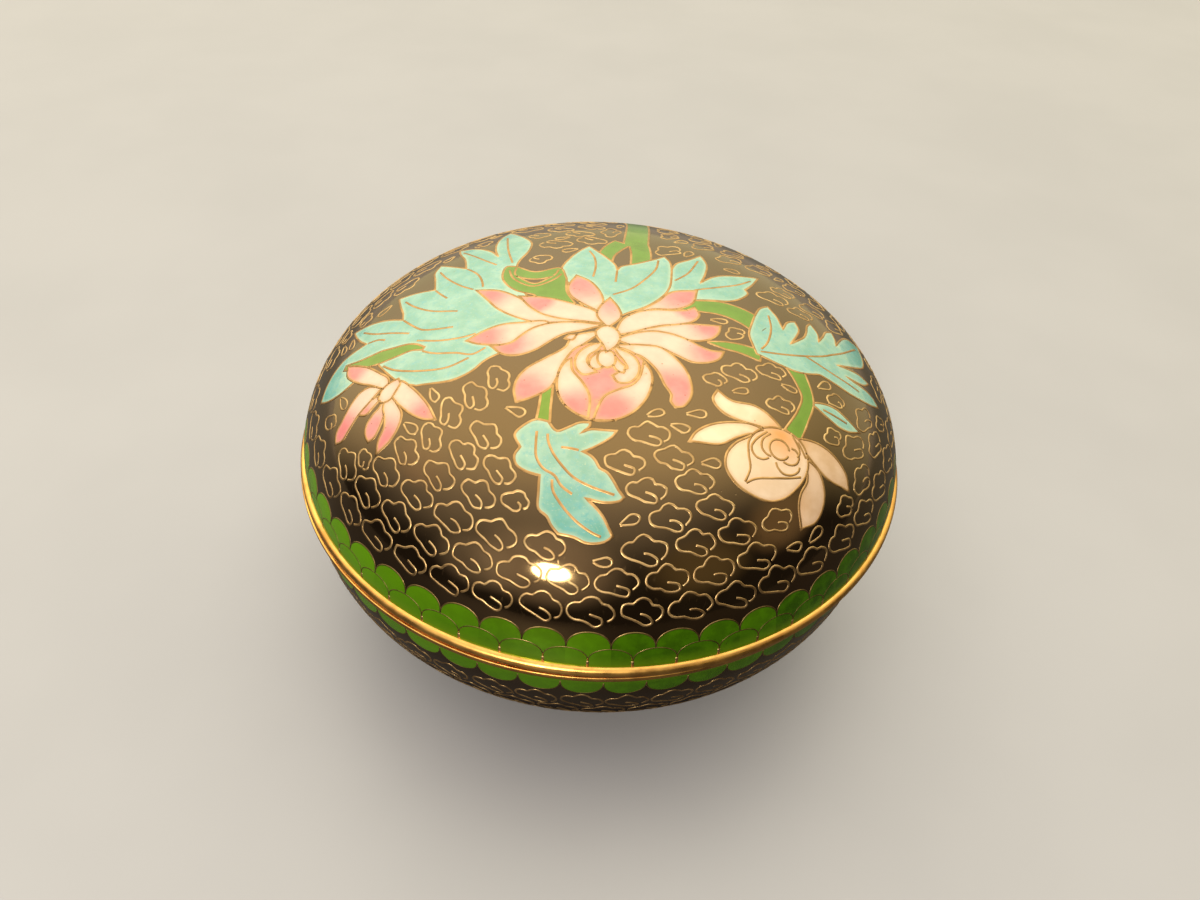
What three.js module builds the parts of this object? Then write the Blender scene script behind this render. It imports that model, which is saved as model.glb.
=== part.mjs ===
// A round cloisonne enamel box: a bowl on a foot ring and a domed lid, each edged with a gilt brass ring.
// Millimetres, +Z up. The origin lies on the ground, under the middle of the box.
// The bowl and the lid are separate hollow shells; the lid rests on the bowl and lifts off.
import * as THREE from "three";

// Driving dimensions.
const SEGMENTS = 72; // sides of each turned piece
const WALL = 2; // copper with fired enamel on both faces
const FIT_GAP = 0.3; // between pieces that touch

const LID_RADIUS = 50; // outside of the lid's gilt ring
const LID_RISE = 25; // from the top of that ring to the crown
const LID_SIDE = 0.76; // exponent of the dome's side: under 1 is fuller than an ellipse
const LID_CROWN = 1.1; // exponent of the dome's height: over 1 is a flatter crown

const BOWL_RADIUS = 49.4; // outside of the bowl's gilt ring
const BOWL_DEPTH = 26.4; // from the bottom of that ring to the underside
const BOWL_SIDE = 0.62;
const BOWL_CROWN = 0.8;
const BOWL_SHIFT = [-0.6, -0.6]; // the loose lid sits off the bowl's axis by this

const SEAM = 30.2; // height of the lid's lower edge
const RIM_LIP = 0.8; // how far each ring stands out past the enamel
const RIM_WALL = 0.8; // upright side of each ring
const RIM_HEIGHT = 1.2; // whole height of each ring
const LIP_RADIUS = 45.4; // outside of the lip that enters the lid
const LIP_THICKNESS = 0.9;
const LIP_HEIGHT = 2.4; // above the bowl's ring

const FOOT_RADIUS = 27.2;
const FOOT_THICKNESS = 1.6;
const FOOT_EDGE = 0.35; // worn, rounded corners of the foot

// A point of the curve r = radius cos^side, z = rise sin^crown, from the edge (turn 0) to the axis (turn 1).
function domePoint(radius, rise, side, crown, turn) {
  const angle = (turn * Math.PI) / 2;
  const r = turn === 1 ? 0 : radius * Math.cos(angle) ** side;
  return new THREE.Vector2(r, rise * Math.sin(angle) ** crown);
}

// The whole curve, from the edge to the axis.
function domeCurve(radius, rise, side, crown, steps) {
  return Array.from({ length: steps + 1 }, (_, i) =>
    domePoint(radius, rise, side, crown, i / steps),
  );
}

// Height of the same curve above its edge, at a distance r from the axis.
function domeHeight(radius, rise, side, crown, r) {
  const angle = Math.acos((r / radius) ** (1 / side));
  return rise * Math.sin(angle) ** crown;
}

// A solid of revolution about +Z from a profile of (r, z) points with its material on the left of the path.
function turned(profile) {
  return new THREE.LatheGeometry(profile, SEGMENTS).rotateX(Math.PI / 2);
}

function piece(name, geometry, material) {
  const mesh = new THREE.Mesh(geometry, material);
  mesh.name = name;
  return mesh;
}

const blackEnamel = new THREE.MeshStandardMaterial({
  color: 0x0b090c,
  roughness: 0.12,
  metalness: 0,
});
const giltBrass = new THREE.MeshStandardMaterial({
  color: 0xd79a3c,
  roughness: 0.28,
  metalness: 1,
});

const SHELL_STEPS = 11; // chords on each face of a shell

// Profile of a dome of wall thickness WALL, open below, with its edge at z = 0: from the axis down the
// inside, across the edge and back up the outside.
function shell(radius, rise, side, crown) {
  const outside = domeCurve(radius, rise, side, crown, SHELL_STEPS);
  const inside = domeCurve(radius - WALL, rise - WALL, side, crown, SHELL_STEPS);
  return [...inside.reverse(), ...outside];
}

// The lid's dome stands on its ring, a fit gap above it.
function enamelledLid() {
  const profile = shell(LID_RADIUS - RIM_LIP, LID_RISE - FIT_GAP, LID_SIDE, LID_CROWN);
  const mesh = piece("enamelled_lid", turned(profile), blackEnamel);
  mesh.position.z = SEAM + RIM_HEIGHT + FIT_GAP;
  return mesh;
}

// Section of a gilt ring from its free edge (z = 0) up to the enamel: an upright side under a rounded shoulder.
function ringSide(radius) {
  const corner = 0.15;
  return [
    new THREE.Vector2(radius - corner, 0),
    new THREE.Vector2(radius, corner),
    new THREE.Vector2(radius, RIM_WALL),
    new THREE.Vector2(radius - 0.45 * RIM_LIP, RIM_HEIGHT - 0.1),
    new THREE.Vector2(radius - RIM_LIP, RIM_HEIGHT),
  ];
}

function lidRim() {
  const inner = LID_RADIUS - RIM_LIP - WALL + 0.2;
  const profile = [
    new THREE.Vector2(inner, 0),
    ...ringSide(LID_RADIUS),
    new THREE.Vector2(inner, RIM_HEIGHT),
    new THREE.Vector2(inner, 0),
  ];
  const mesh = piece("lid_rim", turned(profile), giltBrass);
  mesh.position.z = SEAM;
  return mesh;
}

// The bowl is the same kind of shell, turned over.
function enamelledBowl() {
  const profile = shell(BOWL_RADIUS - RIM_LIP, BOWL_DEPTH - FIT_GAP, BOWL_SIDE, BOWL_CROWN);
  const hung = profile.map(({ x, y }) => new THREE.Vector2(x, -y)).reverse();
  const mesh = piece("enamelled_bowl", turned(hung), blackEnamel);
  mesh.position.z = SEAM - FIT_GAP - RIM_HEIGHT - FIT_GAP;
  return mesh;
}

// The bowl's ring, with the lip that stands up inside the lid.
function bowlRim() {
  const lipInner = LIP_RADIUS - LIP_THICKNESS;
  const side = ringSide(BOWL_RADIUS).map(({ x, y }) => new THREE.Vector2(x, -y));
  const profile = [
    new THREE.Vector2(lipInner, -RIM_HEIGHT),
    ...side.reverse(),
    new THREE.Vector2(LIP_RADIUS, 0),
    new THREE.Vector2(LIP_RADIUS, LIP_HEIGHT),
    new THREE.Vector2(lipInner, LIP_HEIGHT),
    new THREE.Vector2(lipInner, -RIM_HEIGHT),
  ];
  const mesh = piece("bowl_rim", turned(profile), giltBrass);
  mesh.position.z = SEAM - FIT_GAP;
  return mesh;
}

// The foot ring reaches up to the bowl's underside, which slopes over it.
function footRing() {
  const inner = FOOT_RADIUS - FOOT_THICKNESS;
  const edge = SEAM - FIT_GAP - RIM_HEIGHT - FIT_GAP;
  const top = (r) =>
    edge - FIT_GAP - domeHeight(BOWL_RADIUS - RIM_LIP, BOWL_DEPTH - FIT_GAP, BOWL_SIDE, BOWL_CROWN, r);
  const profile = [
    new THREE.Vector2(inner, FOOT_EDGE),
    new THREE.Vector2(inner + FOOT_EDGE, 0),
    new THREE.Vector2(FOOT_RADIUS - FOOT_EDGE, 0),
    new THREE.Vector2(FOOT_RADIUS, FOOT_EDGE),
    new THREE.Vector2(FOOT_RADIUS, top(FOOT_RADIUS)),
    new THREE.Vector2(inner, top(inner)),
    new THREE.Vector2(inner, FOOT_EDGE),
  ];
  return piece("foot_ring", turned(profile), giltBrass);
}

const lower = new THREE.Group();
lower.position.set(BOWL_SHIFT[0], BOWL_SHIFT[1], 0);
lower.add(enamelledBowl(), bowlRim(), footRing());

const upper = new THREE.Group();
upper.add(enamelledLid(), lidRim());

const box = new THREE.Group();
box.add(lower, upper);

export default box;
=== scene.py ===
"""The looks of a round cloisonne enamel box: black enamel over a bowl and a domed lid, with a spray of
chrysanthemums, a ground of clouds and borders of green scales, all drawn in fine gilt wire.

Every piece is built in millimetres in the row frame and stored in metres. The picture on a shell is laid out
flat, in a plan: see Shell.
"""
import math
import random

import bpy
import numpy as np
from mathutils import Matrix, Vector
from mathutils.kdtree import KDTree
from mathutils.geometry import delaunay_2d_cdt


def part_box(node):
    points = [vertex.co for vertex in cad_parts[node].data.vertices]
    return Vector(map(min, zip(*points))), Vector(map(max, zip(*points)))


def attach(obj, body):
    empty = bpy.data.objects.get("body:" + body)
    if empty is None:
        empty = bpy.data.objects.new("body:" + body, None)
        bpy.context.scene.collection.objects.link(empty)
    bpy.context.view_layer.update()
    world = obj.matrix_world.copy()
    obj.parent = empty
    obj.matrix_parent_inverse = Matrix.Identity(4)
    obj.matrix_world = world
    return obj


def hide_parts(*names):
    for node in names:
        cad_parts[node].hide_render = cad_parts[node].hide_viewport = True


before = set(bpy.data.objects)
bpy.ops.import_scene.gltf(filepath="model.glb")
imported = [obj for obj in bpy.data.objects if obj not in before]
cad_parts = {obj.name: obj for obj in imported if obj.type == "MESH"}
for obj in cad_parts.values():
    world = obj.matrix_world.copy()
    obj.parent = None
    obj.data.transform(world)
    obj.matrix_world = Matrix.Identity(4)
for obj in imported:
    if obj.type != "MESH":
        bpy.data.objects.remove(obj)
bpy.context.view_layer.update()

MM = 0.001


def unit(vectors):
    """The vectors, each one long."""
    return vectors / np.maximum(np.linalg.norm(vectors, axis=1), 1e-9)[:, None]


def heading(angle):
    """The plan's direction at an angle, or at each angle of an array."""
    return np.stack([np.cos(angle), np.sin(angle)], axis=-1)


def full_turn(count):
    """Even angles all the way round."""
    return np.linspace(0, 2 * math.pi, count, endpoint=False)


def cad_corners(node):
    """Lowest and highest corner of a CAD node, in mm."""
    low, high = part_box(node)
    return np.array(low) / MM, np.array(high) / MM


lid_low, lid_high = cad_corners("enamelled_lid")
bowl_low, bowl_high = cad_corners("enamelled_bowl")
lid_ring_low, lid_ring_high = cad_corners("lid_rim")
bowl_ring_low, bowl_ring_high = cad_corners("bowl_rim")
foot_low, foot_high = cad_corners("foot_ring")

LID_CENTRE = (lid_ring_low + lid_ring_high)[:2] / 2
BOWL_CENTRE = (bowl_ring_low + bowl_ring_high)[:2] / 2
WALL = 2.0  # thickness of each shell
CROWN_GAP = 0.1  # the enamel stays this far under the CAD model's crown, so that the wires have room on it


# ---------------------------------------------------------------- the two enamelled shells

SECTION_STEPS = 4000  # in the table that stands for a shell's section


class Shell:
    """One face of an enamelled shell, turned about an upright axis.

    Its section is r = radius cos(turn)^side, z = edge + rise sin(turn)^crown, from the edge to the crown. A
    picture is laid on it from a flat plan in mm: a plan point's distance from (0, 0) is the length along the
    surface from the crown, and its direction is the direction on the surface. -y is the front.
    """

    def __init__(self, centre, edge, radius, rise, side, crown):
        turn = np.linspace(math.pi / 2, 0, SECTION_STEPS + 1)
        self.r = radius * np.cos(turn) ** side
        self.r[0] = 0
        self.z = edge + rise * np.sin(turn) ** crown
        self.run = np.concatenate([[0], np.cumsum(np.hypot(np.diff(self.r), np.diff(self.z)))])
        self.length = self.run[-1]
        self.centre = centre
        self.facing = 1 if rise > 0 else -1
        self.slope_r = np.gradient(self.r, self.run)
        self.slope_z = np.gradient(self.z, self.run)

    def radius_at(self, run):
        return np.interp(run, self.run, self.r)

    def run_at(self, radius):
        return np.interp(radius, self.r, self.run)

    def height_at(self, run):
        return np.interp(run, self.run, self.z)

    def place(self, plan, lift=0.0):
        """Surface points and unit normals for plan points, lifted off the surface by lift."""
        plan = np.asarray(plan, float)
        run = np.hypot(plan[:, 0], plan[:, 1])
        ahead = unit(plan)
        r = self.radius_at(run)
        steep = self.facing * np.interp(run, self.run, self.slope_r)
        fall = -self.facing * np.interp(run, self.run, self.slope_z)
        normal = unit(np.column_stack([ahead * fall[:, None], steep]))
        point = np.column_stack([ahead * r[:, None] + self.centre, self.height_at(run)])
        return point + normal * lift, normal


LID_SIDE, LID_CROWN = 0.76, 1.1  # the dome is fuller than an ellipse at its side, and flatter on top
BOWL_SIDE, BOWL_CROWN = 0.62, 0.8
lid_edge, bowl_edge = lid_ring_high[2], bowl_ring_low[2]
lid_radius = (lid_high[0] - lid_low[0]) / 2
bowl_radius = (bowl_high[0] - bowl_low[0]) / 2
lid_rise = lid_high[2] - CROWN_GAP - lid_edge
bowl_rise = bowl_low[2] - bowl_edge

lid = Shell(LID_CENTRE, lid_edge, lid_radius, lid_rise, LID_SIDE, LID_CROWN)
bowl = Shell(BOWL_CENTRE, bowl_edge, bowl_radius, bowl_rise, BOWL_SIDE, BOWL_CROWN)
lid_inside = Shell(LID_CENTRE, lid_edge, lid_radius - WALL, lid_rise - WALL, LID_SIDE, LID_CROWN)
bowl_inside = Shell(BOWL_CENTRE, bowl_edge, bowl_radius - WALL, bowl_rise + WALL, BOWL_SIDE, BOWL_CROWN)


# ---------------------------------------------------------------- drawing in the plan

OUTLINE_STEP = 0.45  # mm between the points of a drawn line


def smooth(points, closed=False, step=OUTLINE_STEP):
    """A smooth line through the points (a centripetal Catmull-Rom curve), with a point about every step."""
    p = np.array(points, float)
    if closed:
        p = np.vstack([p[-1], p, p[0], p[1]])
    else:
        p = np.vstack([2 * p[0] - p[1], p, 2 * p[-1] - p[-2]])
    line = []
    for a, b, c, d in zip(p, p[1:], p[2:], p[3:]):
        ta = -math.sqrt(math.dist(a, b))
        tc = math.sqrt(math.dist(b, c))
        td = tc + math.sqrt(math.dist(c, d))
        count = max(2, round(math.dist(b, c) / step))
        t = np.linspace(0, tc, count, endpoint=False)[:, None]
        ab = (-t * a + (t - ta) * b) / -ta
        bc = ((tc - t) * b + t * c) / tc
        cd = ((td - t) * c + (t - tc) * d) / (td - tc)
        abc = ((tc - t) * ab + (t - ta) * bc) / (tc - ta)
        bcd = ((td - t) * bc + t * cd) / td
        line.append(((tc - t) * abc + t * bcd) / tc)
    if not closed:
        line.append(p[-2:-1])
    return np.vstack(line)


def outline(*sides):
    """A closed line of smooth sides that meet in corners: each side starts at its corner."""
    corners = [side[0] for side in sides]
    runs = [smooth([*side, corner])[:-1] for side, corner in zip(sides, corners[1:] + corners[:1])]
    return np.vstack(runs)


def band(points, widths):
    """The closed outline of a stem that follows the points, its width going evenly through the widths."""
    line = smooth(points)
    across = unit(np.gradient(line, axis=0))[:, ::-1] * [-1, 1]
    half = np.interp(np.linspace(0, 1, len(line)), np.linspace(0, 1, len(widths)), widths)[:, None] / 2
    return np.vstack([line + half * across, (line - half * across)[::-1]])


def ring(centre, radius):
    """A circle, as points for smooth."""
    return centre + radius * heading(full_turn(max(8, round(2 * math.pi * radius / OUTLINE_STEP))))


def inside(points, polygon):
    """Which points lie inside a closed outline."""
    x, y = np.asarray(points, float).T
    odd = np.zeros(len(x), bool)
    for (ax, ay), (bx, by) in zip(polygon, np.roll(polygon, -1, axis=0)):
        if ay != by:
            odd ^= ((ay > y) != (by > y)) & (x < (bx - ax) * (y - ay) / (by - ay) + ax)
    return odd


# ---------------------------------------------------------------- the spray on the lid


class Cell:
    """One enamel-filled shape of the spray. Cells of one family have no wire between them."""

    def __init__(self, kind, polygon, family=None, tip=None, blush=0.0, fade=3.0, peach=1.0):
        self.kind = kind
        self.polygon = polygon
        self.family = family or self
        self.tip = tip
        self.blush = blush
        self.fade = fade
        self.peach = peach
        self.veins = []

    def redness(self, points):
        """How pink the petal is at each point: fully near its tip, fading over fade about blush from it."""
        if self.tip is None:
            return np.zeros(len(points))
        away = np.hypot(*(np.asarray(points) - self.tip).T)
        share = np.clip((self.blush - away) / (1.7 * self.fade) + 0.55, 0, 1)
        return share * share * (3 - 2 * share)


def stem(points, widths, family=None):
    return Cell("stem", band(points, widths), family)


def leaf(sides, veins, kind="leaf"):
    cell = Cell(kind, outline(*sides))
    cell.veins = [smooth(vein) for vein in veins]
    return cell


def petal(*sides, kind="petal", **colouring):
    """A petal whose first corner is its tip, where it blushes."""
    return Cell(kind, outline(*sides), **{"tip": sides[0][0], **colouring})


def round_petal(points, kind="petal", **colouring):
    """A petal without a corner."""
    return Cell(kind, smooth(points, closed=True), **colouring)


def branch_and_leaves():
    """The trunk that comes over the lid from the back, its stems and its leaves, from the bottom up."""
    return [
        # The trunk forks over the crown.
        stem([(4.6, 53), (3.4, 44), (4.4, 32), (3.9, 17.5)], [5.6, 4.4, 4.0, 4.2], "trunk"),
        stem([(1.7, 19), (0.2, 16.6), (-0.9, 13.5), (-0.7, 9)], [3.2, 3.0, 2.4, 1.4], "trunk"),
        stem([(4.4, 19), (4.8, 15), (4.7, 9)], [3.4, 3.3, 3.2], "trunk"),
        # A small leaf on the trunk, round the back.
        leaf([[(13.5, 35.5), (10.8, 37), (8, 39.5), (4.5, 41)], [(4.2, 38.5), (6.5, 36), (9.3, 34.2)]],
             [[(4.5, 39.8), (8, 38), (12, 36.2)]]),
        # Stem to the leaf on the right.
        stem([(9, 0), (13.5, 0.3), (17.5, 0.6), (20.8, -0.4), (24, -2.5)], [2.6, 2.8, 3.6, 4.0, 4.2]),
        # The pair of leaves above the flower, on the right.
        leaf([[(15, 17.6), (12.7, 14.8), (10.6, 12.7), (9.6, 9.8), (8, 5)], [(8, 2), (10.5, 0.6)],
              [(12, 1.6), (16, 2.5), (18.9, 3.2), (21, 4.9), (22.2, 7)], [(21.8, 7.9), (23.2, 10.2)],
              [(24.8, 13.9), (20.6, 12.2), (17.4, 10.6), (15.6, 8.9)],
              [(14.4, 7.3), (15.2, 10), (15.8, 14.2)]],
             [[(14.5, 15.4), (12.4, 9.8), (10, 6.6)], [(23.4, 12), (20.6, 9), (17.4, 6.9), (13, 4.6)]]),
        # The pair above it, in the middle.
        leaf([[(-3.9, 16.9), (-2, 14.3), (-0.5, 12.2), (0.7, 10.2)],
              [(1, 8.6), (1.5, 9.8), (4.3, 11.4), (7.2, 13.5)],
              [(8.7, 14.9), (9.6, 12.9), (9.7, 8), (9.3, 4.5), (8.3, 2), (5.8, -1.2), (2.6, -3.6)],
              [(0, -6), (-4, -2)], [(-6.4, 3.4), (-7.3, 6.1), (-7.9, 8.5), (-6.7, 12.2), (-5.7, 14.3)]],
             [[(-3.9, 15.3), (-2.8, 12.4), (-2.5, 9.3), (-2.8, 5.8)],
              [(7.7, 13.5), (7.2, 10), (5.3, 6.1), (3.2, 3.2), (0.2, 1.1)], [(1, 8.8), (0.8, 4.6)]]),
        # The large leaf on the left, which runs under the flower.
        leaf([[(-18.5, 26.4), (-15.7, 22.3), (-13.8, 18.7), (-13.8, 15.3), (-15.2, 10), (-14, 3)],
              [(-10, -4), (-9, -8)],
              [(-11, -12), (-15.3, -13.5), (-17.3, -14.8), (-19, -16.7), (-21.7, -18), (-26.7, -18)],
              [(-27.2, -18), (-30, -16.7), (-32.7, -14)], [(-35.2, -10.9), (-36.2, -11.3)],
              [(-38, -12.5), (-39.5, -13.4), (-42, -14.2), (-45, -13.9)],
              [(-47.2, -12.8), (-46, -9.4), (-43.3, -6.5), (-40.6, -5.6)],
              [(-38.4, -5.1), (-39.8, -3.7), (-41.3, -1.7)], [(-42.6, 0.7), (-38.7, 0.3), (-35.3, -0.7)],
              [(-32.3, -2.1), (-32.6, -0.4), (-33.6, 2.1)], [(-34.7, 5.3), (-31.3, 5.2)],
              [(-28.1, 4.7), (-28.8, 8.3), (-29.5, 11.3)], [(-29, 14.2), (-26.7, 12.4)],
              [(-23.8, 10.4), (-24.7, 14.3), (-26, 17.3)], [(-26.9, 20.4), (-23.3, 18.9), (-20.2, 15.9)],
              [(-18.9, 13.7), (-19.7, 16.6), (-20, 20), (-19.6, 23.5)]],
             [[(-18.6, 23.3), (-17.4, 15.7), (-16, 10.3)],
              [(-26, 18.7), (-23.3, 15.3), (-20.7, 12.3), (-18.4, 10.1)],
              [(-23.8, 10.4), (-21.4, 7.6), (-20.3, 5), (-19.9, 3)],
              [(-28.7, 11.5), (-26.7, 8), (-23.7, 4.5), (-21.1, 2.6)],
              [(-28.1, 4.7), (-26.9, 3), (-25.2, 1)],
              [(-33.3, 3.7), (-30.7, 0.7), (-27.3, -1.7), (-22.7, -2.9)],
              [(-32.3, -2.1), (-30, -4.6), (-28.2, -6.1), (-26.2, -6.6), (-22.8, -6.7)],
              [(-40.3, -0.9), (-37.3, -3.2), (-33.3, -5), (-30, -6.4)],
              [(-38.4, -5.1), (-36, -5.4), (-34.2, -6.3)],
              [(-29, -8.4), (-24.7, -9.5), (-21.3, -9.4), (-19, -8.7)],
              [(-27.6, -11), (-25.3, -12.1), (-21.7, -12.7), (-19.3, -13.3), (-17.2, -11.9)],
              [(-34, -12), (-31.3, -13.9), (-26.7, -15.3), (-22.7, -15.4), (-19.4, -13.8)]]),
        # A looped stem over that leaf, with the ground showing through it.
        leaf([[(-15.2, 9.2), (-12, 7.3), (-8.2, 8.6)], [(-6.9, 5.4), (-6.6, 1.5), (-5, -2)],
              [(-4, -6), (-9, -3)], [(-11.6, 0.5), (-14.3, 1.6), (-16.2, 3.6), (-17.2, 6.2), (-16.8, 9.4)]],
             [[(-16.4, 8.4), (-15.2, 5.2), (-12, 2.9), (-9, 4.8), (-7.6, 7)],
              [(-15.2, 9.2), (-15.3, 7), (-14.9, 6)], [(-9.2, 5.8), (-8.6, 7), (-8.3, 8.4)]], "stem"),
        Cell("ground", outline([(-14.9, 6), (-13.2, 5.2), (-11, 5.1)], [(-9.2, 5.8), (-11.8, 3.7)])),
        # Stem to the bud on the left.
        stem([(-42, -8.6), (-38.5, -9.8), (-33, -10), (-29.2, -9.8), (-27.2, -10.6)], [1, 2, 2.8, 2, 0.6]),
        # Stem of the flower on the right, and its small leaf.
        leaf([[(40.3, -16.4), (37.9, -17.6), (35.8, -17.8), (33.7, -17.1)],
              [(30.6, -15.6), (32.9, -14.8), (35.2, -14.6), (37.6, -15.4)]],
             [[(32.5, -15.9), (35, -16.1), (37.8, -16.3)]]),
        stem([(27.5, -8), (29.2, -11.5), (30.2, -15.2), (29.3, -18.4), (27.4, -22.6)],
             [3.4, 2.6, 2.0, 2.1, 2.8]),
        # The small stem beside it.
        stem([(14.9, -8.4), (17.4, -8.5), (20, -8.6), (23, -9.2)], [0.3, 1.7, 2.1, 2.5]),
        # The leaf on the right.
        leaf([[(22.3, -8.9), (25.8, -9.9), (28.4, -10.3), (30.5, -9.9), (32.6, -9)],
              [(33, -8.9), (35.8, -9.3), (38.9, -9.6), (41.6, -9.2), (44.2, -8.4)],
              [(46.3, -7.2), (45, -6.1), (42.9, -5.8), (40.3, -6)],
              [(38.6, -5.9), (41, -5.5), (42.9, -4.7)], [(44.4, -3.1), (42.1, -2.9), (38.9, -3.7)],
              [(36.9, -4.3), (38.9, -3.2), (42.1, -1), (43.9, 0.8), (44.9, 4.2)],
              [(45, 8.4), (41.8, 7.4), (40, 5.5), (38.7, 3.4)], [(37.6, 1.3), (37.8, 3.2)],
              [(37.4, 5.1), (36, 3.9), (35, 1.8)], [(33.8, -0.4), (34, 1.8)],
              [(32.9, 4), (32.1, 2.7), (31.7, 0.8), (31, -1), (29.7, -2.6)],
              [(28.3, -4.1), (29.7, -1.3), (30.3, 0.6)], [(29.8, 2.5), (28.4, 1.5)],
              [(27.3, -0.9), (26.6, 1.9)],
              [(25.3, 4.4), (23.9, 3.2), (22.9, 1), (22.1, -1.6), (21.4, -4.7), (21.8, -6.9)]],
             [[(22.6, -8.2), (25.8, -7.6), (29.7, -6.3), (33.7, -4.2), (36.3, -2.1), (38.9, 0.3),
               (43.6, 6)], [(22.9, -7.9), (24.2, -5.8), (25.2, -1.8), (25.1, 2.1)],
              [(30.4, -5.9), (35.5, -7.2), (41.5, -7.6)]]),
        # The lower stem and its leaf.
        stem([(-7.8, -19), (-7.9, -23), (-8.1, -28.4)], [1.5, 1.6, 2.2]),
        leaf([[(-7.3, -26), (-9, -25.7), (-10.7, -26.7), (-11.7, -28)],
              [(-10.8, -29.9), (-11.5, -31.1), (-11.2, -32.4), (-10.2, -33.2), (-9, -33.7)],
              [(-7.9, -34), (-7.9, -36.4), (-7.8, -38.5), (-6.6, -39.5), (-6, -40.6)],
              [(-5, -41.7), (-2.8, -42.1), (-1.4, -42.7), (-0.2, -42.8), (1.5, -42.4)],
              [(2.3, -41.7), (1.5, -40.3), (0.9, -39.3), (-0.1, -38.2)],
              [(-1.5, -37), (1.1, -37.4), (3.1, -37)],
              [(3.5, -36.5), (2.8, -35.7), (1.9, -34.3), (1.1, -33.3), (0, -32.7), (-0.5, -31.8),
               (-1.3, -31)], [(-2.3, -30.5), (-1.6, -30.2), (-0.1, -29.3), (1.6, -27.9)],
              [(2, -27.1), (0.2, -27.1), (-1.5, -27.1)], [(-2.7, -27.7), (-1.6, -26.6)],
              [(-1.6, -26), (-3, -26.1), (-4.5, -26.9), (-6, -27.5)]],
             [[(-8.7, -27.2), (-8.7, -29.3), (-8.5, -31.4), (-7.5, -33), (-5.9, -34), (-4.9, -35.4),
               (-3.1, -36.7)],
              [(-7.2, -27.6), (-7.1, -28.9), (-6.3, -30.8), (-4.8, -32.8), (-3.2, -34.3), (-0.9, -35.4),
               (2.6, -36.4)], [(-5.6, -29.9), (-3.9, -30.1), (-2.5, -30.4)],
              [(-6.2, -34.2), (-6, -36), (-4.7, -38), (-2.7, -40), (-0.5, -41.4), (1.1, -42)]]),
    ]


def bud_on_the_left():
    """A half-open flower, its petals round a short centre."""
    heart = (-31.8, -17.8)
    return [
        petal([(-41.3, -8.6), (-38.5, -10.1), (-36.6, -11.3), (-33.9, -13.6), (-32.2, -15.2)],
              [heart, (-35.2, -15.5), (-37.8, -14), (-40.8, -11.2)], blush=5.4, fade=2),
        petal([(-36.8, -20.3), (-36.2, -19), (-35, -18.4), (-33.9, -18.2)],
              [heart, (-33.6, -19.4), (-35.4, -20.8)], blush=2.4, fade=1.5),
        petal([(-41.5, -23.4), (-41.5, -21.6), (-40.2, -19.8), (-38.8, -17.7), (-37.2, -16.1),
               (-35.3, -15.7)],
              [(-33.1, -16.8), (-34.9, -18.6), (-36.7, -20.1), (-38.4, -22), (-39.9, -23.5)], blush=5,
              fade=2),
        petal([(-34.4, -25.6), (-35.1, -24.2), (-35, -22.6), (-33.9, -21.1), (-33, -20.3)],
              [heart, (-31.9, -21.8), (-32.5, -23.9), (-33.3, -25.2)], blush=4.6, fade=2),
        petal([(-32.7, -28), (-32.5, -25.9), (-31.7, -24), (-31.9, -22), (-32.3, -20.5)],
              [heart, (-30, -20.4), (-28.9, -22.5), (-29.2, -24.6), (-30.5, -26.6)], blush=5, fade=2.4),
        petal([(-23.4, -24.5), (-24.6, -22.2), (-26.2, -20), (-28.2, -17.8), (-30, -16.4)],
              [heart, (-30.4, -19.8), (-29.2, -21.2), (-27.2, -23), (-25.2, -24.2)], blush=4.6, fade=2.4),
        petal([(-30.4, -15.8), (-31.8, -16.2), (-33, -17.2)],
              [(-33.4, -18.6), (-32.6, -19.6), (-31.2, -19.4)], [(-30.4, -18), (-29.9, -16.8)]),
    ]


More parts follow.
